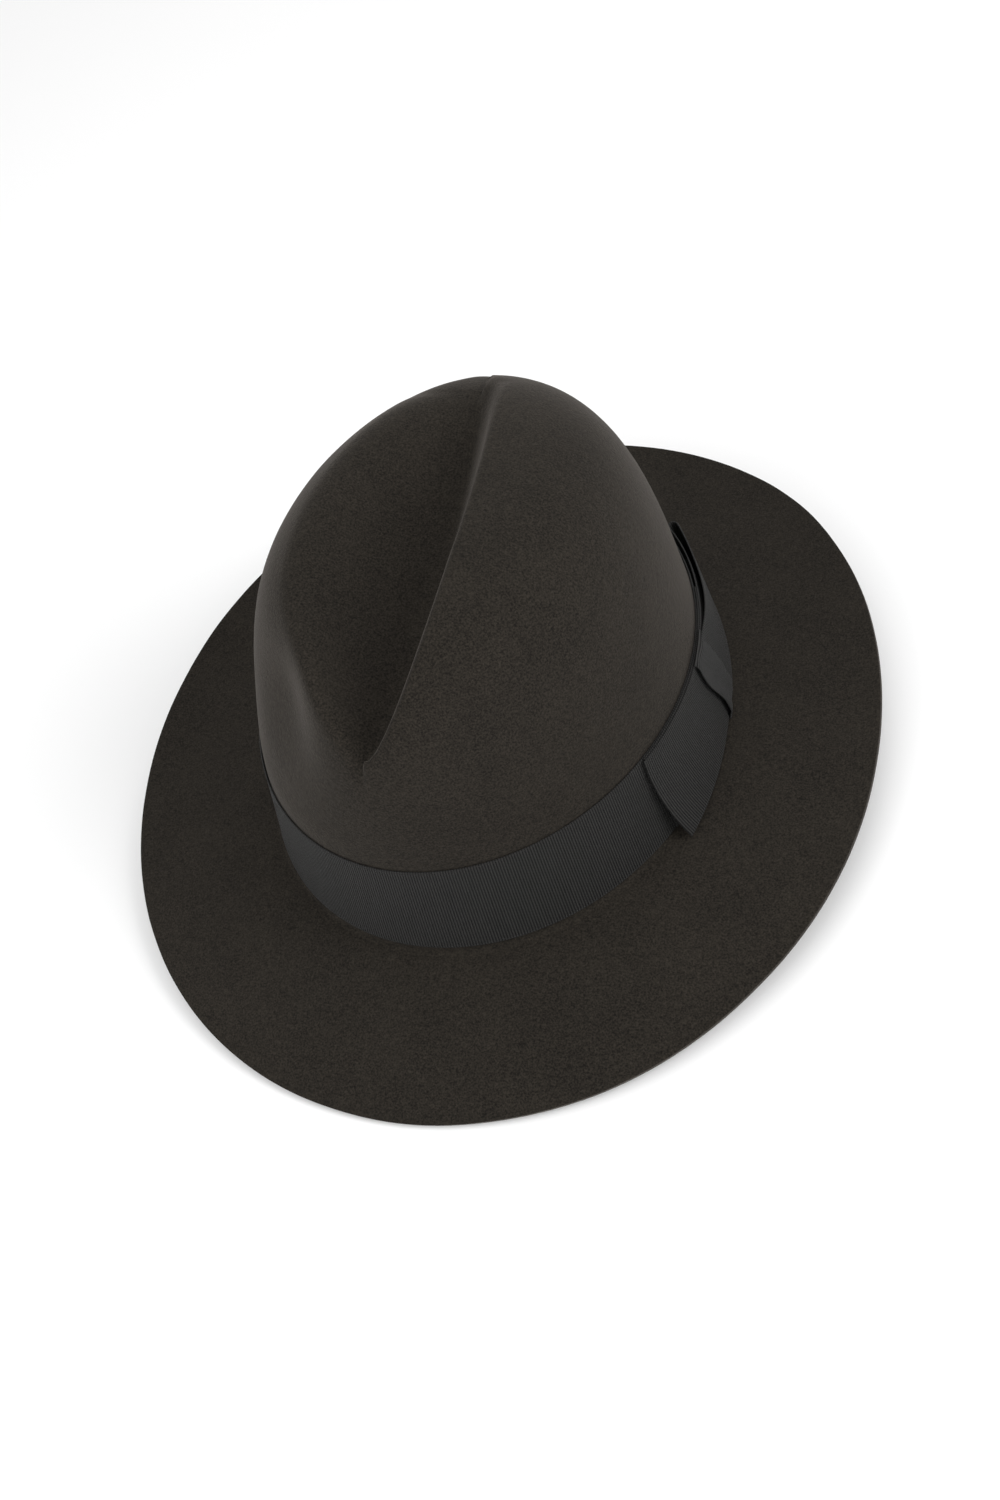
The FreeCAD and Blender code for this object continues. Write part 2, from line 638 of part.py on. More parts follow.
# The sweatband, split at the back, with the reed and its welt below it and the seam inside it.
leather = wall_band("Leather", "-%s - Sizes.leather_wall" % IN_LEATHER, "-" + IN_LEATHER,
                    "Sizes.band_low", BAND_TOP)
split = block("LeatherSplit", ("-Sizes.band_split / 2", "Sizes.band_split / 2"),
              (HALF_Y + " / 2", HALF_Y + " * 2"), ("-50", BAND_TOP + " + 50"))
keep(cut("Sweatband", leather, split), "sweatband")
IN_REED = "-%s - Sizes.leather_wall / 2" % IN_LEATHER
WELT_IN = "(Sizes.reed_radius + Sizes.welt_gap)"
REED_Z = "Sizes.band_low - Sizes.welt_gap - Sizes.welt_wall - " + WELT_IN
keep(bead("Reed", IN_REED, REED_Z, "Sizes.reed_radius"), "sweatband_reed")
keep(cut("Welt", bead("WeltOut", IN_REED, REED_Z, WELT_IN + " + Sizes.welt_wall"),
         bead("WeltIn", IN_REED, REED_Z, WELT_IN)), "reed_welt")
keep(bead("Seam", "-%s - Sizes.leather_wall - Sizes.welt_gap - Sizes.thread_radius" % IN_LEATHER,
          "Sizes.band_low + Sizes.thread_z", "Sizes.thread_radius"), "sweatband_seam")

# The lining: a side panel from behind the sweatband up to an oval tip, piped at the seam.
OUT_LINING = "-(Sizes.felt_wall + Sizes.lining_gap)"
IN_LINING = "-(Sizes.felt_wall + Sizes.lining_gap + Sizes.lining_wall)"
TOP_IN = " - (Sizes.far_pinch + Sizes.crown_lean / 2 + Sizes.lining_ease)"
TIP_Z = "(Sizes.crown_height - Sizes.tip_drop)"
side_levels = []
for offset in (OUT_LINING, IN_LINING):
    side_levels.append([(offset, "Sizes.lining_low"), (offset, BAND_TOP + " + 1"),
                        (offset + TOP_IN, TIP_Z)])
side_out = cone("LiningOut", side_levels[0])
side_in = cone("LiningIn", side_levels[1])
keep(cut("LiningSide", side_out, side_in), "lining_side")
TIP_LOW = TIP_Z + " + Sizes.lining_gap"
keep(cone("LiningTip", [(OUT_LINING + TOP_IN, TIP_LOW),
                        (OUT_LINING + TOP_IN, TIP_LOW + " + Sizes.lining_wall")]), "lining_tip")
keep(bead("Piping", IN_LINING + TOP_IN + " - Sizes.piping_radius - Sizes.lining_gap",
          TIP_Z + " - Sizes.piping_radius", "Sizes.piping_radius"), "lining_piping")

# A clear diamond-shaped shield under the tip lining.
shield = plate("Shield", "XY_Plane", [
    ("Sizes.shield_width / 2", "0", 39.0, 0.0), ("0", "Sizes.shield_length / 2", 0.0, 52.0),
    ("-Sizes.shield_width / 2", "0", -39.0, 0.0), ("0", "-Sizes.shield_length / 2", 0.0, -52.0)],
    "Sizes.shield_wall")
shield_pad = shield.Tip
upright = ["Edge%d" % (number + 1) for number, edge in enumerate(shield_pad.Shape.Edges)
           if abs(edge.Vertexes[0].Z - edge.Vertexes[-1].Z) > size["shield_wall"] / 2]
rounded = shield.newObject("PartDesign::Fillet", "ShieldCorners")
rounded.Base = (shield_pad, upright)
rounded.setExpression("Radius", "Sizes.shield_round")
shield.setExpression("Placement.Base.z", TIP_Z + " - Sizes.lining_gap - Sizes.shield_wall")
keep(shield, "tip_shield")

# The small flat bow inside, over the place where the sweatband's ends meet.
inside_bow = plate("InsideBow", "XZ_Plane", [
    ("Sizes.bow_span / 2", "-Sizes.bow_height / 2", 13.0, -6.0),
    ("Sizes.bow_span / 2", "Sizes.bow_height / 2", 13.0, 6.0),
    ("0", "Sizes.bow_waist / 2", 0.0, 2.0),
    ("-Sizes.bow_span / 2", "Sizes.bow_height / 2", -13.0, 6.0),
    ("-Sizes.bow_span / 2", "-Sizes.bow_height / 2", -13.0, -6.0),
    ("0", "-Sizes.bow_waist / 2", 0.0, -2.0)], "Sizes.bow_wall")
SAG = "(Sizes.bow_span ^ 2 / 8 * %s / %s ^ 2) * 1.25" % (HALF_Y, HALF_X)
inside_bow.setExpression("Placement.Base.y", "Sizes.head_length / 2 - Sizes.bow_z"
                         " * tan(Sizes.end_taper * 1deg) - Sizes.welt_gap - " + SAG)
inside_bow.setExpression("Placement.Base.z", "Sizes.bow_z")
inside_bow.setExpression("Placement.Rotation.Angle", "Sizes.end_taper * 1deg")
inside_bow.Placement.Rotation.Axis = FreeCAD.Vector(1, 0, 0)
keep(inside_bow, "sweatband_bow")

doc.recompute()
os.makedirs("parts", exist_ok=True)
for item in doc.Objects:
    for state in item.State:
        if state in ("Invalid", "Error"):
            raise RuntimeError("%s is %s" % (item.Label, state))
for item in pieces:
    if item.Shape.isNull() or not item.Shape.isValid():
        raise RuntimeError("%s has no valid shape" % item.Label)
for item in pieces:
    item.Shape.exportStep("parts/%s.step" % item.Label)
    print(item.Label, len(item.Shape.Solids), round(item.Shape.Volume, 1))
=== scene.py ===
import math

import bmesh
import bpy
from mathutils import Matrix, Vector, noise


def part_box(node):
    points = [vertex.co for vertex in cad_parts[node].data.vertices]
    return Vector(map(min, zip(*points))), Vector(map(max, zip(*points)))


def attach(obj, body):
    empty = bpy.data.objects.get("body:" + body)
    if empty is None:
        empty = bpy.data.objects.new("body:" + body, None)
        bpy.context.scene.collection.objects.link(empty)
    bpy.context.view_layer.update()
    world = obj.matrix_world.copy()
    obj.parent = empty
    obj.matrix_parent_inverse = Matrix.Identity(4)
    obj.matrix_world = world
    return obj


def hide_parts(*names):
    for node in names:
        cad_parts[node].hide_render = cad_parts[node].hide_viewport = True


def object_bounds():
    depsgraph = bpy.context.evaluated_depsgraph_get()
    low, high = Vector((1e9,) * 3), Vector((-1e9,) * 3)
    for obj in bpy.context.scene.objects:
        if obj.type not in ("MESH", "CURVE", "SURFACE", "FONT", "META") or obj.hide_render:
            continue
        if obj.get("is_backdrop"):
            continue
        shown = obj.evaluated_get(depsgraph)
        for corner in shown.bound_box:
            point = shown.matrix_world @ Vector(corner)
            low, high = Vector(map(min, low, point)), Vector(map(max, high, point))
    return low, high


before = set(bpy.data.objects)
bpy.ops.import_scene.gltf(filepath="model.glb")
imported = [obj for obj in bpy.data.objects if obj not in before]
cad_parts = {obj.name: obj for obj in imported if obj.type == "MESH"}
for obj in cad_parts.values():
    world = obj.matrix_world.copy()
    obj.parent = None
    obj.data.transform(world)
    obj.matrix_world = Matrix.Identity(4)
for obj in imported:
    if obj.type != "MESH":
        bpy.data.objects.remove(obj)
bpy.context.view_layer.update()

bl_info = {
    "name": "Felt Fedora",
    "version": (1, 0, 0),
    "blender": (4, 5, 0),
    "location": "View3D > Sidebar > Fedora",
    "description": "Builds a creased fur-felt hat with its band, bow, sweatband and lining",
    "category": "Add Mesh",
}

MM = 0.001
TURN = 2 * math.pi


# ---------------------------------------------------------------- settings

def length(label, millimetres, meaning):
    return bpy.props.FloatProperty(name=label, description=meaning, default=millimetres * MM,
                                   unit="LENGTH", precision=5)


def angle(label, degrees, meaning):
    return bpy.props.FloatProperty(name=label, description=meaning,
                                   default=math.radians(degrees), subtype="ANGLE")


def number(label, amount, meaning):
    return bpy.props.FloatProperty(name=label, description=meaning, default=amount)


def colour(label, red, green, blue, meaning):
    return bpy.props.FloatVectorProperty(name=label, description=meaning, subtype="COLOR",
                                         size=3, default=(red, green, blue), min=0, max=1)


class CrownSizes(bpy.types.PropertyGroup):
    half_x: length("Half width", 88.3, "Crown's half width where it meets the brim")
    half_y: length("Half length", 103.8, "Crown's half length where it meets the brim")
    wall: length("Felt", 2.2, "Thickness of the felt")
    height: length("Height", 130.0, "Head opening to the highest ridge")
    side_lean: angle("Side lean", 9.0, "Lean of the crown's sides")
    end_lean: angle("End lean", 8.0, "Lean of the crown's front and back")
    lean: length("Lean", 4.1, "How far the crown's top leans to the wearer's left")
    rise: number("Shoulder rise", 5.5, "Squareness of the shoulder from the side")
    plan: number("Shoulder plan", 2.95, "Squareness of the shoulder from above")
    front_full: length("Front fullness", 5.8, "How far the front of the top stands out")
    back_full: length("Back fullness", 7.5, "How far the back of the top stands out")
    floor_front: length("Dent front", 88.0, "Floor of the dent at its front end")
    floor_back: length("Dent back", 119.5, "Floor of the dent at its back end")
    sag: length("Dent sag", 5.0, "Sag of the dent's floor between its ends")
    middle: length("Dent middle", -20.0, "Widest place of the dent")
    reach_front: length("Dent reach front", 69.5, "Widest place to the front end")
    reach_back: length("Dent reach back", 97.0, "Widest place to the back end")
    near: length("Left ridge", 22.5, "Half width of the dent on the wearer's left")
    far: length("Right ridge", 36.0, "Half width of the dent on the wearer's right")
    near_soft: length("Left rounding", 4.5, "Rounding of the left ridge at the back")
    near_front: length("Left front rounding", 10.0, "Rounding of the left ridge at its front")
    far_soft: length("Right rounding", 14.0, "Rounding of the right ridge")
    pinch_left: length("Left pinch", 3.0, "Depth of the front pinch on the wearer's left")
    pinch_right: length("Right pinch", 9.0, "Depth of the front pinch on the wearer's right")
    pinch_z: length("Pinch height", 88.0, "Height of the pinches")
    pinch_reach: length("Pinch reach", 24.0, "Half height of a pinch")
    pinch_turn: angle("Pinch turn", 37.0, "Middle of a pinch, round from the front")
    pinch_spread: angle("Pinch spread", 19.0, "Half width of a pinch")
    pinch_foot: length("Pinch foot", 44.0, "Height where the pinches begin")
    pinch_fade: length("Pinch fade", 12.0, "Height in which the pinches reach their depth")


class BrimSizes(bpy.types.PropertyGroup):
    ends: length("Ends", 62.2, "Width of the brim at front and back")
    sides: length("Sides", 59.0, "Width of the brim at the sides")
    front_more: length("Front more", 0.45, "How much wider the brim is at the front")
    quarters: length("Quarters", 1.0, "How much wider the brim is at its front quarters")
    front: length("Front edge", -17.1, "Height of the edge at the front")
    front_quarter: length("Front quarter", -10.0, "Height of the edge at the front quarters")
    side: length("Side edge", 2.0, "Height of the edge at the sides")
    back_quarter: length("Back quarter", 6.2, "Height of the edge at the back quarters")
    back: length("Back edge", -1.5, "Height of the edge at the back")
    left_lift: length("Left lift", 1.0, "How much higher the edge is on the wearer's left")
    droop: length("Droop", 3.0, "How far the brim dips before it turns up at the back")
    wave: length("Break wave", 1.2, "How far the break dips at front and back")
    fillet: length("Fillet", 2.0, "Fillet between brim and crown")


class TrimSizes(bpy.types.PropertyGroup):
    low: length("Band low", 2.4, "Lower edge of the band")
    width: length("Band width", 38.6, "Width of the grosgrain")
    wall: length("Ribbon", 0.55, "Thickness of the grosgrain")
    gap: length("Gap", 0.12, "Clearance between the layers")
    rib: length("Rib", 1.0, "Distance between the grosgrain's ribs")
    wing_front: length("Wing front", -41.0, "Front end of the wing, along the side")
    knot_high: length("Knot high", 3.0, "Front edge of the knot at its top")
    knot_low: length("Knot low", 12.0, "Front edge of the knot at its bottom")
    wing_lift: length("Wing lift", 6.0, "How far the wing's lower front corner stands off")
    loop_lift: length("Loop lift", 3.7, "How much further off the loop stands at its back")
    loop_wave: length("Loop wave", 0.7, "Wave in the loop's upper edge")
    knot_width: length("Knot width", 17.0, "Width of the knot")
    loop_back: length("Loop back", 73.5, "Back end of the rear loop")


class InsideSizes(bpy.types.PropertyGroup):
    leather: length("Leather", 1.0, "Thickness of the sweatband")
    half_x: length("Half width", 84.0, "Inside of the sweatband, half width")
    half_y: length("Half length", 99.5, "Inside of the sweatband, half length")
    low: length("Leather low", 1.0, "Lower edge of the sweatband")
    depth: length("Leather depth", 42.0, "Height of the sweatband")
    split: length("Split", 2.0, "Gap between the sweatband's ends")
    stitch: length("Stitch", 5.2, "Distance between stitches")
    lining_low: length("Lining low", 28.0, "Lower edge of the lining")
    tip: length("Tip", 80.0, "Seam between side lining and tip lining")
    ease: length("Ease", 14.05, "How much smaller than the crown the lining is at its top")


class HatColours(bpy.types.PropertyGroup):
    felt_dark: colour("Felt dark", 0.0048, 0.0040, 0.0029, "Depth of the nap")
    felt_light: colour("Felt light", 0.0290, 0.0242, 0.0185, "Tips of the nap")
    felt_sheen: colour("Felt sheen", 1.0, 0.90, 0.82, "Sheen of the nap")
    # The darker ribbon colour is painted shade for the grooves between the ribs.
    ribbon_groove_shade: colour("Ribbon dark", 0.0016, 0.0016, 0.0015, "Grooves of the grosgrain")
    ribbon_light: colour("Ribbon light", 0.026, 0.0252, 0.0236, "Ribs of the grosgrain")
    leather: colour("Leather", 0.085, 0.040, 0.018, "Sweatband leather")
    satin: colour("Satin", 0.060, 0.046, 0.036, "Lining")
    thread: colour("Thread", 0.16, 0.12, 0.08, "Sewing thread")
    cloth: colour("Cloth", 0.022, 0.019, 0.017, "Welt, piping and small bow")
    reed: colour("Reed", 0.50, 0.45, 0.37, "Plastic reed")
    floor: colour("Floor", 0.93, 0.93, 0.93, "Studio floor")


GROUPS = {"fedora_crown": CrownSizes, "fedora_brim": BrimSizes, "fedora_trim": TrimSizes,
          "fedora_inside": InsideSizes, "fedora_colours": HatColours}


def settings(name):
    return getattr(bpy.context.scene, "fedora_" + name)


# ---------------------------------------------------------------- shapes of the hat

def blend_line(low, high, value):
    """0 up to low, 1 from high and a straight line between."""
    return min(max((value - low) / (high - low), 0.0), 1.0)


def blend(low, high, value):
    """A smooth step from 0 at low to 1 at high."""
    part = blend_line(low, high, value)
    return part * part * (3 - 2 * part)


def soft_min(first, second, softness):
    """The smaller of two heights, with the crossing rounded."""
    overlap = max(softness - abs(first - second), 0.0) / softness
    return min(first, second) - overlap * overlap * softness / 4


def cosine_series(stations, turn):
    """A height round the hat through evenly spaced stations from front to back."""
    count = len(stations) - 1
    total = 0.0
    for wave in range(count + 1):
        weight = sum((0.5 if index in (0, count) else 1.0) * height
                     * math.cos(math.pi * index * wave / count)
                     for index, height in enumerate(stations))
        total += (0.5 if wave in (0, count) else 1.0) * weight * math.cos(wave * turn)
    return total * 2 / count


class HatForm:
    """The hat's surfaces. Turns start at the front and grow to the wearer's left."""

    def __init__(self):
        self.crown = settings("crown")
        self.brim = settings("brim")
        self.side_slope = math.tan(self.crown.side_lean)
        self.end_slope = math.tan(self.crown.end_lean)
        trim = settings("trim")
        self.band_top = trim.low + trim.width

    def outward(self, turn):
        """The level direction square to the crown's oval."""
        across = math.sin(turn) / self.crown.half_x
        along = -math.cos(turn) / self.crown.half_y
        size = math.hypot(across, along)
        return across / size, along / size

    def break_z(self, turn):
        return -self.brim.wave * math.cos(2 * turn)

    def wall(self, turn, height, offset=0.0):
        """A point beside the crown's straight wall."""
        half_x = self.crown.half_x - height * self.side_slope
        half_y = self.crown.half_y - height * self.end_slope
        across, along = self.outward(turn)
        return Vector((half_x * math.sin(turn) + across * offset,
                       -half_y * math.cos(turn) + along * offset, height))

    def side(self, along, height, offset):
        """A point beside the wall on the wearer's left, given how far along the side it is."""
        half_y = self.crown.half_y - height * self.end_slope
        return self.wall(math.acos(max(-0.99, min(0.99, -along / half_y))), height, offset)

    def brim_point(self, turn, share):
        """On the brim's upper face, share 0 at the break and 1 at the edge."""
        brim = self.brim
        width = (brim.ends + brim.sides) / 2 + (brim.ends - brim.sides) / 2 * math.cos(2 * turn)
        width += brim.front_more * math.cos(turn) - brim.quarters * math.cos(3 * turn)
        edge = cosine_series([brim.front, brim.front_quarter, brim.side, brim.back_quarter,
                              brim.back], turn) + brim.left_lift * math.sin(turn)
        rise = edge - self.break_z(turn)
        level = math.sqrt(width * width - rise * rise)
        droop = brim.droop * math.sin(turn / 2) ** 2
        height = self.break_z(turn) + rise * share ** 1.5 - droop * 4 * share * (1 - share)
        across, along = self.outward(turn)
        return Vector((self.crown.half_x * math.sin(turn) + across * level * share,
                       -self.crown.half_y * math.cos(turn) + along * level * share, height))

    def fillet_point(self, turn, degrees):
        """On the fillet between brim and crown, 0 at the brim and 90 at the crown."""
        out = self.brim.fillet * (1 - math.sin(math.radians(degrees)))
        up = self.brim.fillet * (1 - math.cos(math.radians(degrees)))
        return self.wall(turn, self.break_z(turn) + up, out)

    def share(self, height):
        """How far a height is up the open crown, 0 at the band's top and 1 at the ridge."""
        share = (height - self.band_top) / (self.crown.height - self.band_top)
        return min(max(share, 0.0), 1.0)

    def fullness(self, turn, height):
        """How far the front or back of the crown stands out."""
        ahead = math.cos(turn)
        amount = self.crown.front_full if ahead > 0 else -self.crown.back_full
        return amount * ahead * ahead * self.share(height)

    def dome(self, turn, height, shrink):
        """On the open crown, before it is creased."""
        half_x = self.crown.half_x - height * self.side_slope
        half_y = self.crown.half_y - height * self.end_slope
        lean = self.crown.lean * self.share(height) * blend(0.0, 0.6, shrink)
        across = half_x * shrink * math.sin(turn) + lean
        return across, -(half_y * math.cos(turn) + self.fullness(turn, height)) * shrink

    def dome_height(self, across, along):
        crown = self.crown
        height = crown.height * 0.9
        for _ in range(8):
            half_x = crown.half_x - height * self.side_slope
            half_y = crown.half_y - height * self.end_slope
            sideways = (across - crown.lean * self.share(height)) / half_x
            half_y += abs(self.fullness(math.atan2(sideways, -along / half_y), height))
            shrink = min(math.hypot(sideways, along / half_y), 0.999)
            height = crown.height * (1 - shrink ** crown.plan) ** (1 / crown.rise)
        return height

    def dent_width(self, along, power, root):
        step = along - self.crown.middle
        reach = self.crown.reach_back if step > 0 else self.crown.reach_front
        return max((1 - min(abs(step) / reach, 1.0) ** power) ** root, 0.06)

    def dent(self, across, along):
        """Height of the centre dent's trough, and how softly it meets the crown there."""
        crown = self.crown
        front = crown.middle - crown.reach_front
        back = crown.middle + crown.reach_back * 0.86
        share = min(max((along - front) / (back - front), 0.0), 1.0)
        floor = crown.floor_front + (crown.floor_back - crown.floor_front) * share
        floor -= crown.sag * 4 * share * (1 - share)
        behind = along > crown.middle
        near = crown.near * self.dent_width(along, 1.3 if behind else 3.0,
                                            0.45 if behind else 0.5)
        far = crown.far * self.dent_width(along, 2.0, 0.8)
        deepest = 0.3 * near
        if across > deepest:
            rim = self.dome_height(near, along)
            rise = ((across - deepest) / (near - deepest)) ** 1.5
            soft = crown.near_soft + (crown.near_front - crown.near_soft) \
                * (1 - blend(front, crown.middle + crown.near, along))
            return floor + max(rim + MM - floor, 2 * MM) * rise, soft
        rim = self.dome_height(-far, along)
        rise = ((deepest - across) / (deepest + far)) ** 1.7
        return floor + max(rim + MM - floor, 2 * MM) * rise, crown.far_soft

    def pinch(self, turn, height):
        crown = self.crown
        up = math.exp(-((height - crown.pinch_z) / crown.pinch_reach) ** 2)
        up *= blend(crown.pinch_foot, crown.pinch_foot + crown.pinch_fade, height)
        return up * sum(depth * math.exp(-((turn * side - crown.pinch_turn)
                                           / crown.pinch_spread) ** 2)
                        for side, depth in ((1, crown.pinch_left), (-1, crown.pinch_right)))

    def crown_point(self, turn, height, shrink):
        """On the creased crown's outer face."""
        across, along = self.dome(turn, height, shrink)
        out_x, out_y = self.outward(turn)
        press = self.pinch(turn, height) * blend(0.35, 0.95, shrink)
        across -= out_x * press
        along -= out_y * press
        if height > self.crown.pinch_z - self.crown.pinch_reach:
            trough, softness = self.dent(across, along)
            height = soft_min(height, trough, softness)
        return Vector((across, along, height))

    def crown_row(self, shrink=None, height=None):
        """Height and shrink of a ring of the open crown, from either of them."""
        crown = self.crown
        if shrink is None:
            return height, (1 - (height / crown.height) ** crown.rise) ** (1 / crown.plan)
        return crown.height * (1 - shrink ** crown.plan) ** (1 / crown.rise), shrink


# ---------------------------------------------------------------- making pieces

def grid_piece(name, columns, rows, place, closed=False, pole=False, weave=None):
    """A sheet of columns by rows faces. place(column, row) gives each point, both from 0 to 1.
    closed joins the first and last columns, pole closes the last row to a point, and weave is
    the real height of the sheet for its cloth map, which runs in metres."""
    shape = bmesh.new()
    cloth = shape.loops.layers.uv.new("UVMap")
    bmesh.ops.create_grid(shape, x_segments=columns, y_segments=rows, size=1, calc_uvs=True)
    shares = {}
    for vert in shape.verts:
        column = round((vert.co.x + 1) / 2 * columns)
        row = round((vert.co.y + 1) / 2 * rows)
        shares[vert] = (column, row)
    for vert, (column, row) in shares.items():
        vert.co = place(column / columns, row / rows)
    if weave is not None:
        middle = [place(column / columns, 0.5) for column in range(columns + 1)]
        run = [0.0]
        for before, after in zip(middle, middle[1:]):
            run.append(run[-1] + (after - before).length)
        for face in shape.faces:
            for loop in face.loops:
                column, row = shares[loop.vert]
                loop[cloth].uv = (run[column], weave * row / rows)
    if closed or pole:
        bmesh.ops.remove_doubles(shape, verts=shape.verts, dist=1e-6)
    for face in shape.faces:
        face.smooth = True
    return finish_piece(name, shape)


def finish_piece(name, shape):
    mesh = bpy.data.meshes.new(name)
    shape.to_mesh(mesh)
    shape.free()
    piece = bpy.data.objects.new(name, mesh)
    bpy.context.scene.collection.objects.link(piece)
    return piece


def thicken(piece, wall, offset):
    """Give a sheet its wall; offset -1 grows it behind its face and 0 to both sides."""
    solid = piece.modifiers.new("Wall", "SOLIDIFY")
    solid.thickness = wall
    solid.offset = offset
    solid.use_even_offset = True
    solid.use_quality_normals = True


def round_edges(piece, width, segments=2):
    bevel = piece.modifiers.new("Edges", "BEVEL")
    bevel.width = width
    bevel.segments = segments
    bevel.profile = 0.5
    bevel.limit_method = "ANGLE"
    bevel.angle_limit = math.radians(55)


def dress(piece, material, slot, *nodes):
    """Give a piece its finish, its body and the CAD nodes it stands for."""
    piece.data.materials.clear()
    piece.data.materials.append(material)
    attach(piece, "root")
    if nodes:
        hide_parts(*nodes)
    return piece


# ---------------------------------------------------------------- finishes

class Socket:
    """A shader value. Arithmetic on it adds Math nodes."""

    def __init__(self, paint, output):
        self.paint = paint
        self.output = output

    def math(self, operation, *others):
        return self.paint.node("ShaderNodeMath", {"operation": operation}, (self, *others))

    def __add__(self, other):
        return self.math("ADD", other)

    def __sub__(self, other):
        return self.math("SUBTRACT", other)

    def __mul__(self, other):
        return self.math("MULTIPLY", other)

    def __truediv__(self, other):
        return self.math("DIVIDE", other)

    def __pow__(self, other):
        return self.math("POWER", other)

    def __rsub__(self, other):
        return self.paint.node("ShaderNodeMath", {"operation": "SUBTRACT"}, (other, self))

    __radd__ = __add__
    __rmul__ = __mul__

    def clipped(self):
        return self.paint.node("ShaderNodeClamp", {}, (self,))


class Paint:
    """A material with a Principled surface; fixed holds numbers and colours for its sockets."""

    def __init__(self, name, fixed):
        self.material = bpy.data.materials.new(name)
        self.material.use_nodes = True
        self.tree = self.material.node_tree
        self.surface = self.tree.nodes["Principled BSDF"]
        for socket, value in fixed.items():
            self.surface.inputs[socket].default_value = value

    def node(self, kind, settings, inputs, output=0):
        """Add a node; settings are set first, then its inputs by place or by name."""
        node = self.tree.nodes.new(kind)
        for key, value in settings.items():
            if key == "stops":
                for stop, (place, shade) in zip(node.color_ramp.elements, value):
                    stop.position = place
                    stop.color = shade
            else:
                setattr(node, key, value)
        pairs = inputs.items() if isinstance(inputs, dict) else enumerate(inputs)
        for key, value in pairs:
            if isinstance(value, Socket):
                self.tree.links.new(value.output, node.inputs[key])
            else:
                node.inputs[key].default_value = value
        return Socket(self, node.outputs[output])

    def place(self, scale=(1, 1, 1)):
        """Object coordinates, stretched by a scale."""
        place = self.node("ShaderNodeTexCoord", {}, (), "Object")
        return self.node("ShaderNodeMapping", {}, {"Vector": place, "Scale": scale})

    def cloth(self, scale=(1, 1, 1)):
        """The piece's own cloth map in metres, stretched by a scale."""
        place = self.node("ShaderNodeUVMap", {"uv_map": "UVMap"}, ())
        return self.node("ShaderNodeMapping", {}, {"Vector": place, "Scale": scale})

    def split(self, vector):
        node = self.tree.nodes.new("ShaderNodeSeparateXYZ")
        self.tree.links.new(vector.output, node.inputs[0])
        return [Socket(self, output) for output in node.outputs]

    def noise(self, place, scale, detail=2.0, roughness=0.5, distortion=0.0):
        return self.node("ShaderNodeTexNoise", {}, {
            "Vector": place, "Scale": scale, "Detail": detail, "Roughness": roughness,
            "Distortion": distortion})

    def mix(self, share, first, second):
        """Mix two colours by a share."""
        return self.node("ShaderNodeMix", {"data_type": "RGBA"}, {0: share, 6: first, 7: second},
                         2)

    def give(self, socket, value):
        self.tree.links.new(value.output, self.surface.inputs[socket])

    def bump(self, height, distance, strength=1.0):
        self.give("Normal", self.node("ShaderNodeBump", {}, {
            "Height": height, "Distance": distance, "Strength": strength}))


def rgba(shade):
    return (*shade, 1.0)


def felt_finish():
    colours = settings("colours")
    paint = Paint("fur_felt", {
        "Roughness": 0.9, "Sheen Weight": 0.13, "Sheen Roughness": 0.4,
        "Sheen Tint": rgba(colours.felt_sheen), "Specular IOR Level": 0.15})
    place = paint.place()
    speckle = paint.noise(place, 1500, 3, 0.65)
    clumps = paint.noise(place, 420, 2, 0.55)
    clouds = paint.noise(place, 38, 2, 0.5)
    brushed = paint.noise(paint.place((500, 500, 1700)), 1.0, 2, 0.6, 0.4)
    tips = (speckle - 0.5) * 2.6 + (clumps - 0.5) * 0.3 + (clouds - 0.5) * 0.35 + \
        (brushed - 0.5) * 0.5 + 0.45
    paint.give("Base Color", paint.mix(tips.clipped(), rgba(colours.felt_dark),
                                       rgba(colours.felt_light)))
    paint.give("Roughness", (1.0 - 0.18 * speckle).clipped())
    paint.bump(speckle * 0.6 + clumps * 0.5 + brushed * 0.4, 0.0003, 0.8)
    return paint.material


def grosgrain_finish(name="grosgrain"):
    colours = settings("colours")
    trim = settings("trim")
    paint = Paint(name, {"Specular IOR Level": 0.2, "Sheen Weight": 0.06,
                         "Sheen Roughness": 0.4})
    along, up, _ = paint.split(paint.cloth())
    phase = along * (math.pi / trim.rib)
    rib = phase.math("SINE").math("ABSOLUTE")
    waver = paint.noise(paint.cloth((900, 60, 1)), 1.0, 2, 0.5)
    warp = (up * (math.pi / (0.28 * MM))).math("SINE").math("ABSOLUTE")
    middle = (up - trim.width / 2).math("ABSOLUTE") / (trim.width / 2)
    selvedge = ((middle - 0.955) * 60).clipped()
    weft = (along * (math.pi / (0.45 * MM))).math("SINE").math("ABSOLUTE")
    height = rib * (1 - selvedge) + weft * selvedge * 0.6 + warp * 0.10
    # Painted shade: the colour runs from dark in the grooves to light on the rib tops, following
    # the rib profile. The waver and selvedge terms add the ribbon's own uneven tone and edge.
    shade = rib * 1.8 - 0.75 + (waver - 0.5) * 0.6 + warp * 0.08 + selvedge * 0.25
    paint.give("Base Color", paint.mix(shade.clipped(), rgba(colours.ribbon_groove_shade),
                                       rgba(colours.ribbon_light)))
    paint.give("Roughness", (0.78 - rib * 0.18).clipped())
    paint.bump(height, 0.0005, 1.0)
    return paint.material


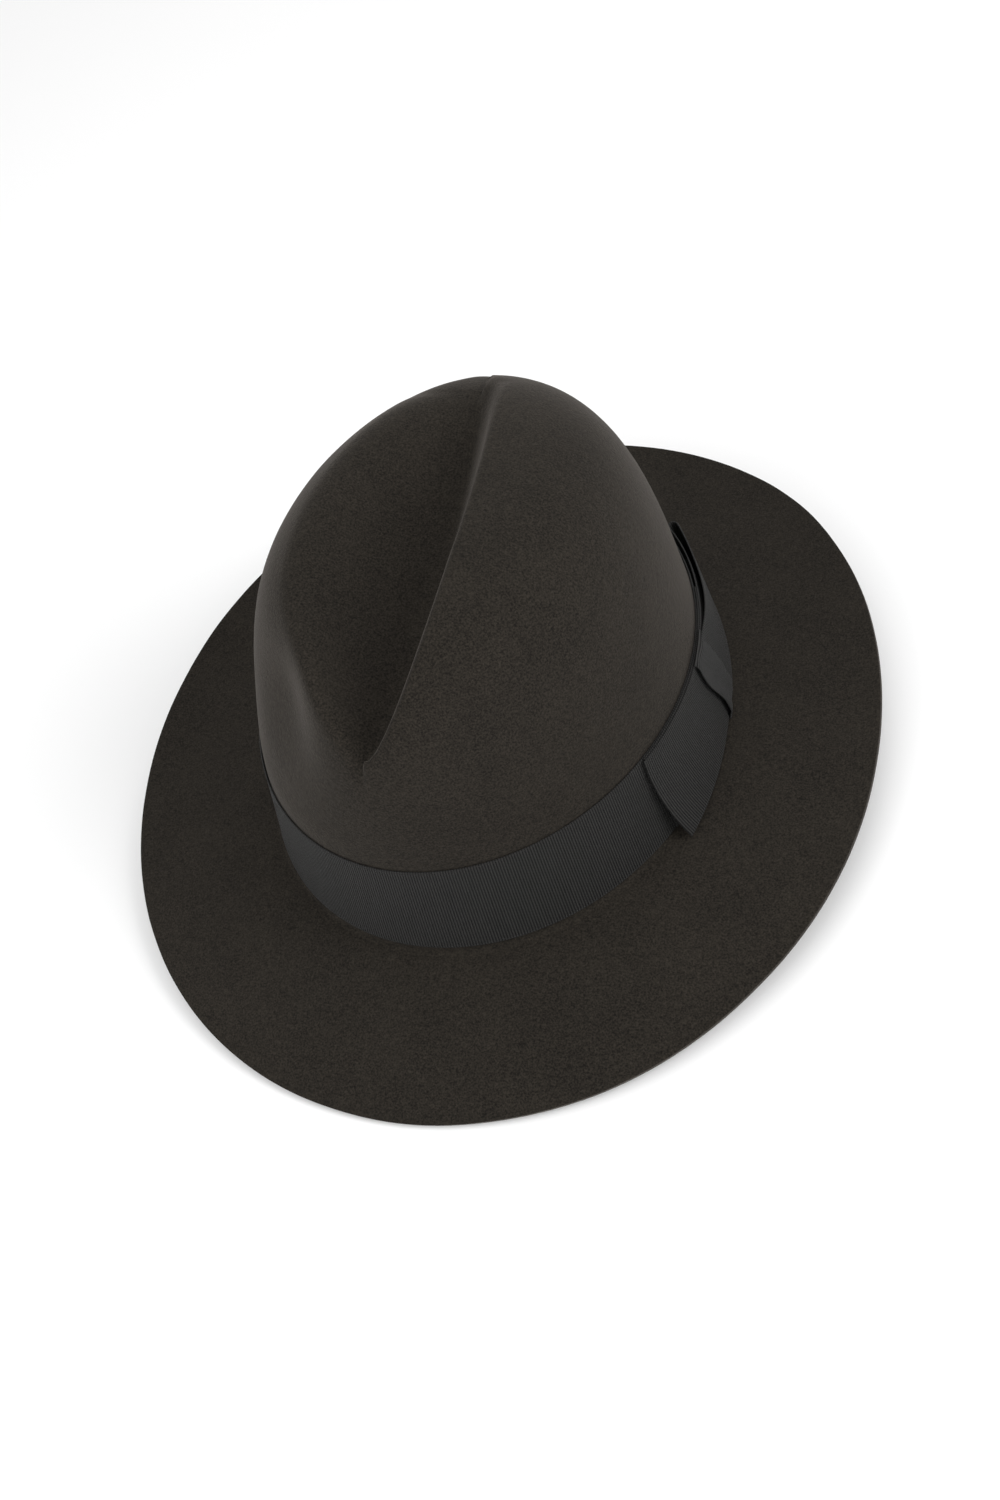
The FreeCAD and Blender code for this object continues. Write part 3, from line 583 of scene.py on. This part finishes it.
def leather_finish():
    colours = settings("colours")
    paint = Paint("roan_leather", {"Specular IOR Level": 0.4})
    place = paint.place()
    pores = paint.node("ShaderNodeTexVoronoi", {"feature": "DISTANCE_TO_EDGE"},
                       {"Vector": place, "Scale": 1100})
    grain = (pores * 7).clipped()
    wear = paint.noise(place, 60, 3, 0.6)
    fine = paint.noise(place, 2200, 2, 0.5)
    light = tuple(min(1.0, part * 1.7) for part in colours.leather)
    dark = tuple(part * 0.6 for part in colours.leather)
    paint.give("Base Color", paint.mix((grain * 0.45 + wear * 0.7 - 0.05).clipped(), rgba(dark),
                                       rgba(light)))
    paint.give("Roughness", (0.42 + wear * 0.25).clipped())
    paint.bump(grain * 0.7 + fine * 0.3, 0.00012, 0.6)
    return paint.material


def satin_finish():
    colours = settings("colours")
    paint = Paint("satin", {"Specular IOR Level": 0.6, "Sheen Weight": 0.2,
                            "Anisotropic": 0.0})
    place = paint.place()
    threads = paint.noise(paint.place((300, 300, 3200)), 1.0, 2, 0.6)
    clouds = paint.noise(place, 30, 2, 0.5)
    light = tuple(min(1.0, part * 1.8) for part in colours.satin)
    dark = tuple(part * 0.7 for part in colours.satin)
    paint.give("Base Color", paint.mix((threads * 0.7 + clouds * 0.4 - 0.05).clipped(),
                                       rgba(dark), rgba(light)))
    paint.give("Roughness", (0.30 + threads * 0.18).clipped())
    paint.bump(threads, 0.00005, 0.5)
    return paint.material


def cloth_finish(name, shade, rough, scale):
    """A plain woven tape or twisted thread."""
    paint = Paint(name, {"Specular IOR Level": 0.3, "Sheen Weight": 0.1})
    place = paint.place()
    weave = paint.noise(place, scale, 2, 0.6)
    light = tuple(min(1.0, part * 1.5) for part in shade)
    dark = tuple(part * 0.55 for part in shade)
    paint.give("Base Color", paint.mix(weave, rgba(dark), rgba(light)))
    paint.give("Roughness", (rough + weave * 0.15).clipped())
    paint.bump(weave, 0.0001, 0.6)
    return paint.material


def plastic_finish(name, shade, alpha, rough):
    paint = Paint(name, {"Alpha": alpha, "Specular IOR Level": 0.5})
    haze = paint.noise(paint.place(), 90, 2, 0.5)
    light = tuple(min(1.0, part * 1.1) for part in shade)
    paint.give("Base Color", paint.mix(haze, rgba(shade), rgba(light)))
    paint.give("Roughness", (rough + haze * 0.12).clipped())
    return paint.material


# ---------------------------------------------------------------- operators

class FEDORA_OT_felt(bpy.types.Operator):
    """Build the felt body: brim, crown, centre dent and front pinches in one piece"""
    bl_idname = "fedora.felt"
    bl_label = "Felt body"

    def execute(self, context):
        form = HatForm()
        rows = [("brim", 1 - share / 44) for share in range(44)]
        rows += [("fillet", degrees) for degrees in (5, 25, 45, 65, 85)]
        rows += [("crown", form.crown_row(height=height * MM)) for height in range(4, 78, 3)]
        shrinks = [0.975] + [0.965 - 0.965 * (step / 70) for step in range(71)]
        rows += [("crown", form.crown_row(shrink=max(shrink, 0.0))) for shrink in shrinks]

        def place(column, row):
            turn = (column - 0.5) * TURN
            turn -= 0.45 * math.sin(turn)
            kind, where = rows[round(row * (len(rows) - 1))]
            if kind == "brim":
                point = form.brim_point(turn, where)
            elif kind == "fillet":
                point = form.fillet_point(turn, where)
            else:
                point = form.crown_point(turn, *where)
            if kind == "crown" and where[1] == 0.0:
                trough, softness = form.dent(0.0, 0.0)
                return Vector((0.0, 0.0, soft_min(where[0], trough, softness)))
            waver = noise.noise_vector(point * 22) * (0.35 * MM)
            waver += noise.noise_vector(point * 60) * (0.08 * MM)
            away = blend(form.band_top, form.band_top + 12 * MM, point.z)
            if kind == "brim":
                away = blend(0.05, 0.3, where)
            return point + waver * away

        felt = grid_piece("Felt", 280, len(rows) - 1, place, closed=True, pole=True)
        thicken(felt, form.crown.wall, -1)
        round_edges(felt, 0.5 * MM)
        dress(felt, felt_finish(), "felt", "felt_body")
        return {"FINISHED"}


class FEDORA_OT_band(bpy.types.Operator):
    """Build the grosgrain band round the crown"""
    bl_idname = "fedora.band"
    bl_label = "Band"

    def execute(self, context):
        form = HatForm()
        trim = settings("trim")

        def place(column, row):
            turn = (column - 0.5) * TURN
            edge = abs(row - 0.5) * 2
            offset = trim.gap + trim.wall / 2 + 0.12 * MM * edge ** 12
            slack = noise.noise(Vector((math.sin(turn) * 3, math.cos(turn) * 3, row * 1.5)))
            offset += 0.10 * MM * (slack + 0.5)
            return form.wall(turn, trim.low + trim.width * row, offset)

        band = grid_piece("Band", 560, 16, place, closed=True, weave=trim.width)
        thicken(band, trim.wall, 0)
        round_edges(band, 0.12 * MM, 1)
        dress(band, grosgrain_finish(), "ribbon", "ribbon_band")
        return {"FINISHED"}


def ribbon_piece(name, columns, rows, low, high, place_of, wall, cut, *nodes):
    """A ribbon on edge beside the crown, cut to a length. place_of(share, up) gives how far
    along the side it is and its offset."""
    form = HatForm()

    def place(column, row):
        along, offset = place_of(column, row)
        return form.side(along, low + (high - low) * row, offset)

    piece = grid_piece(name, columns, rows, place, weave=high - low)
    thicken(piece, wall, 0)
    round_edges(piece, 0.12 * MM, 1)
    material = bpy.data.materials.get("grosgrain") or grosgrain_finish()
    dress(piece, material, "ribbon", *nodes)
    settings("trim").width
    return piece


class FEDORA_OT_bow(bpy.types.Operator):
    """Build the bow: lap, front wing, knot and rear loop"""
    bl_idname = "fedora.bow"
    bl_label = "Bow"

    def execute(self, context):
        trim = settings("trim")
        top = trim.low + trim.width
        layer = trim.wall + trim.gap

        def knot_edge(row):
            return trim.knot_low + (trim.knot_high - trim.knot_low) * row

        ribbon_piece("Bow_Lap", 90, 12, trim.low, top + 0.3 * MM,
                     lambda share, up: (-40 * MM + 82 * MM * share,
                                        layer + trim.gap + trim.wall / 2
                                        + 0.35 * MM * up ** 6),
                     trim.wall * 0.8, 0.083, "bow_lap")

        def wing(share, up):
            end = knot_edge(up) + 7 * MM
            along = trim.wing_front + (end - trim.wing_front) * share - 1.5 * MM * (1 - share) \
                * (1 - up) * up * 4
            free = 1 - share
            lift = trim.wing_lift * free ** 1.6
            bulge = 0.5 * MM * math.sin(math.pi * up) * math.sin(math.pi * free)
            return along, 2.1 * MM + lift * (1 - up) ** 1.7 + bulge

        ribbon_piece("Bow_Front_Wing", 70, 24, trim.low, top, wing, trim.wall, 0.056,
                     "bow_front_wing")

        def stand(along, up):
            """How far the loop's outer side stands off, at its lower and upper edges."""
            back = blend_line(20 * MM, trim.loop_back, along)
            low = trim.loop_lift * 0.85 * back ** 2.8
            high = trim.loop_lift * back ** 1.3 + trim.loop_wave * math.sin(TURN * back)
            return 2.9 * MM + low * (1 - up) + high * up

        side_share = 0.46
        turn_share = 1 - 2 * side_share

        def loop(share, up):
            """Back along the crown, round the fold and forward again to the knot."""
            start = knot_edge(up) + trim.knot_width - 7 * MM
            turn_at = trim.loop_back - 2 * MM
            inner = (2 + 0.5 * blend(0.2, 0.45, share)) * MM
            if share < side_share:
                return start + (turn_at - start) * share / side_share, inner
            past = share - side_share - turn_share
            if past > 0:
                along = turn_at + (start - turn_at) * past / side_share
                return along, stand(along, up)
            swing = (share - side_share) / turn_share * math.pi
            radius = (stand(turn_at, up) - inner) / 2
            return turn_at + 1.6 * MM * math.sin(swing), \
                inner + radius * (1 - math.cos(swing))

        ribbon_piece("Bow_Rear_Loop", 150, 20, trim.low, top, loop, trim.wall, 0.124,
                     "bow_rear_loop")

        form = HatForm()
        back = 1.62
        hem = 0.03

        def sleeve(column, row):
            """Round the knot's section: up its front, over the top and down its back."""
            rest = column * 2
            front = 4.5 - 0.7 * min(rest, 1.0) - 0.9 * math.sin(math.pi * row / 2)
            if rest <= 1:
                up, offset = rest, front + 0.2 * math.sin(math.pi * rest)
            else:
                up, offset = 2 - rest, back
            lean = blend(0.0, 0.06, min(column % 1.0, 1 - column)) if column < 0.5 else 1.0
            edge = min(column / hem, abs(column - 0.5) / hem, (1 - column) / hem, 1.0)
            middle = (front + back) / 2
            offset = middle + (offset - middle) * math.sin(edge * math.pi / 2) * max(lean, 0.2)
            height = trim.low - 0.6 * MM + (trim.width + 1.2 * MM) * up
            fold = 0.35 * math.sin(row * math.pi * 3 + up * 2.0) * (1 if column < 0.5 else 0)
            along = knot_edge(up) + trim.knot_width * row
            along += 1.6 * MM * math.sin(up * TURN) * (1 - row)
            return form.side(along, height, (offset + fold * 0.7) * MM)

        knot = grid_piece("Bow_Knot", 96, 18, sleeve, closed=True, weave=trim.knot_width)
        thicken(knot, trim.wall * 0.8, 0)
        round_edges(knot, 0.12 * MM, 1)
        dress(knot, bpy.data.materials["grosgrain"], "ribbon", "bow_knot")
        return {"FINISHED"}


class FEDORA_OT_sweatband(bpy.types.Operator):
    """Build the sweatband with its stitches and small bow"""
    bl_idname = "fedora.sweatband"
    bl_label = "Sweatband"

    def execute(self, context):
        form = HatForm()
        inside = settings("inside")
        colours = settings("colours")
        inset = form.crown.half_x - inside.half_x - inside.leather / 2
        gap = inside.split / form.crown.half_x

        def place(column, row):
            turn = -math.pi + gap / 2 + (TURN - gap) * column
            slack = noise.noise(Vector((math.sin(turn) * 4, math.cos(turn) * 4, 0.0)))
            offset = -inset - 0.5 * MM * row ** 3 * (slack + 0.4)
            return form.wall(turn, inside.low + inside.depth * row, offset)

        band = grid_piece("Sweatband", 300, 14, place)
        thicken(band, inside.leather, 0)
        round_edges(band, 0.25 * MM)
        dress(band, leather_finish(), "leather", "sweatband")

        thread = cloth_finish("sewing_thread", colours.thread, 0.6, 3000)
        shape = bmesh.new()
        seam = inside.low + 3.2 * MM
        count = round(math.pi * (inside.half_x + inside.half_y) / inside.stitch)
        for index in range(count):
            turn = -math.pi + TURN * (index + 0.5) / count
            here = form.wall(turn, seam, -inset - inside.leather / 2 - 0.25 * MM)
            ahead = form.wall(turn + 0.01, seam, -inset - inside.leather / 2 - 0.25 * MM)
            way = (ahead - here).normalized()
            frame_turn = way.to_track_quat("X", "Z").to_matrix().to_4x4()
            size = Matrix.Diagonal((inside.stitch * 0.36, 0.34 * MM, 0.34 * MM, 1.0))
            bmesh.ops.create_uvsphere(shape, u_segments=8, v_segments=6, radius=1,
                                      matrix=Matrix.Translation(here) @ frame_turn @ size)
        for face in shape.faces:
            face.smooth = True
        dress(finish_piece("Sweatband_Stitches", shape), thread, "thread", "sweatband_seam")

        cloth = cloth_finish("cotton_tape", colours.cloth, 0.75, 2500)
        low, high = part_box("sweatband_bow")
        middle = Vector((0, (low[1] + high[1]) / 2, (low[2] + high[2]) / 2))
        half = (high[0] - low[0]) / 2
        lean = Matrix.Rotation(form.crown.end_lean, 4, "X")

        def ribbon_bow(column, row):
            across = (column - 0.5) * 2
            pinch = 1.6 * MM + 4.2 * MM * min(abs(across) * 1.6, 1.0) ** 0.8
            swell = 0.9 * MM * math.sin(math.pi * min(abs(across) * 1.1, 1.0))
            point = Vector((across * half * 0.98, -swell * (1 - 0.3 * abs(row - 0.5)),
                            (row - 0.5) * 2 * pinch))
            return middle + lean @ point

        bow = grid_piece("Sweatband_Bow", 48, 10, ribbon_bow)
        thicken(bow, 0.5 * MM, 0)
        dress(bow, cloth, "cloth", "sweatband_bow")

        shape = bmesh.new()
        bmesh.ops.create_uvsphere(shape, u_segments=24, v_segments=16, radius=1,
                                  matrix=Matrix.Translation(middle + Vector((0, -0.4 * MM, 0)))
                                  @ lean @ Matrix.Diagonal((2.2 * MM, 1.5 * MM, 2.6 * MM, 1.0)))
        for face in shape.faces:
            face.smooth = True
        dress(finish_piece("Sweatband_Bow_Knot", shape), cloth, "cloth")

        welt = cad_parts["reed_welt"]
        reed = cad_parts["sweatband_reed"]
        for node, material in ((welt, cloth),
                               (reed, plastic_finish("reed_plastic", colours.reed, 1.0, 0.35))):
            node.data.materials.clear()
            node.data.materials.append(material)
        return {"FINISHED"}


class FEDORA_OT_lining(bpy.types.Operator):
    """Build the satin lining, its piping and the clear shield"""
    bl_idname = "fedora.lining"
    bl_label = "Lining"

    def execute(self, context):
        form = HatForm()
        inside = settings("inside")
        colours = settings("colours")
        satin = satin_finish()
        cloth = bpy.data.materials.get("cotton_tape") or \
            cloth_finish("cotton_tape", colours.cloth, 0.75, 2500)
        start = form.crown.wall + 0.5 * MM
        bend = inside.low + inside.depth + MM

        def side(column, row):
            turn = (column - 0.5) * TURN
            height = inside.lining_low + (inside.tip - inside.lining_low) * row
            ease = inside.ease * max(height - bend, 0.0) / (inside.tip - bend)
            folds = 0.5 * MM * math.sin(turn * 36) * blend(bend, inside.tip, height)
            folds += 0.6 * MM * noise.noise(Vector((math.sin(turn) * 5, math.cos(turn) * 5,
                                                    row * 2))) * blend(bend, inside.tip, height)
            return form.wall(turn, height, -start - ease + folds)

        panel = grid_piece("Lining_Side", 432, 30, side, closed=True)
        thicken(panel, 0.3 * MM, 0)
        dress(panel, satin, "satin", "lining_side")

        def tip(column, row):
            turn = (column - 0.5) * TURN
            edge = 1 - row
            base = form.wall(turn, inside.tip, -start - inside.ease)
            sag = 0.6 * MM * noise.noise(Vector((base.x * edge * 60, base.y * edge * 60, 0)))
            rise = 0.5 * MM + 0.8 * MM * (1 - edge ** 2)
            return Vector((base.x * edge, base.y * edge, inside.tip + rise + sag * (1 - edge)))

        oval = grid_piece("Lining_Tip", 160, 24, tip, closed=True, pole=True)
        thicken(oval, 0.3 * MM, 0)
        dress(oval, satin, "satin", "lining_tip")

        radius = 0.75 * MM
        inset = start + inside.ease + 0.8 * MM + radius

        def piping(column, row):
            turn = (column - 0.5) * TURN
            swing = row * TURN
            twist = 0.05 * MM * math.sin(swing * 2 + turn * 90)
            return form.wall(turn, inside.tip - radius + (radius + twist) * math.sin(swing),
                             -inset + (radius + twist) * math.cos(swing))

        cord = grid_piece("Lining_Piping", 360, 10, piping, closed=True)
        dress(cord, cloth, "cloth", "lining_piping")

        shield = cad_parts["tip_shield"]
        shield.data.materials.clear()
        shield.data.materials.append(plastic_finish("clear_film", (0.85, 0.86, 0.87), 0.22,
                                                    0.08))
        return {"FINISHED"}


class FEDORA_OT_stage(bpy.types.Operator):
    """Build the studio floor, the lights and the camera"""
    bl_idname = "fedora.stage"
    bl_label = "Stage"

    def execute(self, context):
        scene = context.scene
        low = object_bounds()[0]
        shape = bmesh.new()
        bmesh.ops.create_grid(shape, x_segments=8, y_segments=8, size=6)
        for vert in shape.verts:
            vert.co.z = low[2] - 0.1 * MM
        floor = finish_piece("Floor", shape)
        paint = Paint("studio_floor", {"Roughness": 0.9, "Specular IOR Level": 0.1})
        soft = paint.noise(paint.place(), 3, 1, 0.5)
        shade = settings("colours").floor
        paint.give("Base Color", paint.mix(soft, rgba(shade), rgba([p * 0.995 for p in shade])))
        floor.data.materials.append(paint.material)
        floor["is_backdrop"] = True

        world = bpy.data.worlds.new("Studio")
        world.use_nodes = True
        sky = world.node_tree.nodes["Background"]
        sky.inputs["Color"].default_value = (1, 1, 1, 1)
        sky.inputs["Strength"].default_value = 0.6
        scene.world = world

        def lamp(name, place, power):
            """A round soft lamp, in metres and watts, turned to the origin."""
            light = bpy.data.lights.new(name, "AREA")
            light.shape = "DISK"
            light.size = 1.2
            light.energy = power
            item = bpy.data.objects.new(name, light)
            scene.collection.objects.link(item)
            item.location = place
            item.rotation_euler = (-Vector(place)).to_track_quat("-Z", "Y").to_euler()

        lamp("Side", (1.474, 0, 1.032), 18.5)
        lamp("Front", (-0.8, -1.24, 1.03), 8)
        lamp("Visor", (0, -1.474, 1.032), 5.8)
        lamp("Back", (0, 1.474, 1.032), 3.5)
        lamp("Top", (0, -0.31, 1.77), 4)

        camera = bpy.data.objects.new("Camera", bpy.data.cameras.new("Camera"))
        scene.collection.objects.link(camera)
        azimuth, elevation, roll = (math.radians(part) for part in (31.83, 47.595, -19.498))
        distance = 0.67843
        back = Vector((math.sin(azimuth) * math.cos(elevation),
                       -math.cos(azimuth) * math.cos(elevation), math.sin(elevation)))
        level = Vector((math.cos(azimuth), math.sin(azimuth), 0))
        upright = back.cross(level)
        right = level * math.cos(roll) + upright * math.sin(roll)
        up = upright * math.cos(roll) - level * math.sin(roll)
        turn = Matrix((right, up, back)).transposed()
        camera.matrix_world = Matrix.Translation(back * distance) @ turn.to_4x4()
        camera.data.sensor_fit = "VERTICAL"
        camera.data.sensor_height = 36.0
        camera.data.lens = 41.357
        camera.data.shift_y = -0.0155
        camera.data.clip_start = 0.01
        camera.data.clip_end = 50
        scene.camera = camera
        scene.view_settings.view_transform = "Standard"
        return {"FINISHED"}


class FEDORA_PT_panel(bpy.types.Panel):
    """The hat's operators and settings"""
    bl_label = "Fedora"
    bl_idname = "FEDORA_PT_panel"
    bl_space_type = "VIEW_3D"
    bl_region_type = "UI"
    bl_category = "Fedora"

    def draw(self, context):
        for operator in OPERATORS:
            self.layout.operator(operator.bl_idname)
        for name, group in GROUPS.items():
            box = self.layout.box()
            for prop in group.__annotations__:
                box.prop(getattr(context.scene, name), prop)


OPERATORS = (FEDORA_OT_felt, FEDORA_OT_band, FEDORA_OT_bow, FEDORA_OT_sweatband,
             FEDORA_OT_lining, FEDORA_OT_stage)
CLASSES = (*GROUPS.values(), *OPERATORS, FEDORA_PT_panel)


def register():
    for item in CLASSES:
        bpy.utils.register_class(item)
    for name, group in GROUPS.items():
        setattr(bpy.types.Scene, name, bpy.props.PointerProperty(type=group))


def unregister():
    for name in GROUPS:
        delattr(bpy.types.Scene, name)
    for item in reversed(CLASSES):
        bpy.utils.unregister_class(item)


def main():
    register()
    bpy.ops.fedora.felt()
    bpy.ops.fedora.band()
    bpy.ops.fedora.bow()
    bpy.ops.fedora.sweatband()
    bpy.ops.fedora.lining()
    bpy.ops.fedora.stage()


if __name__ == "__main__":
    main()
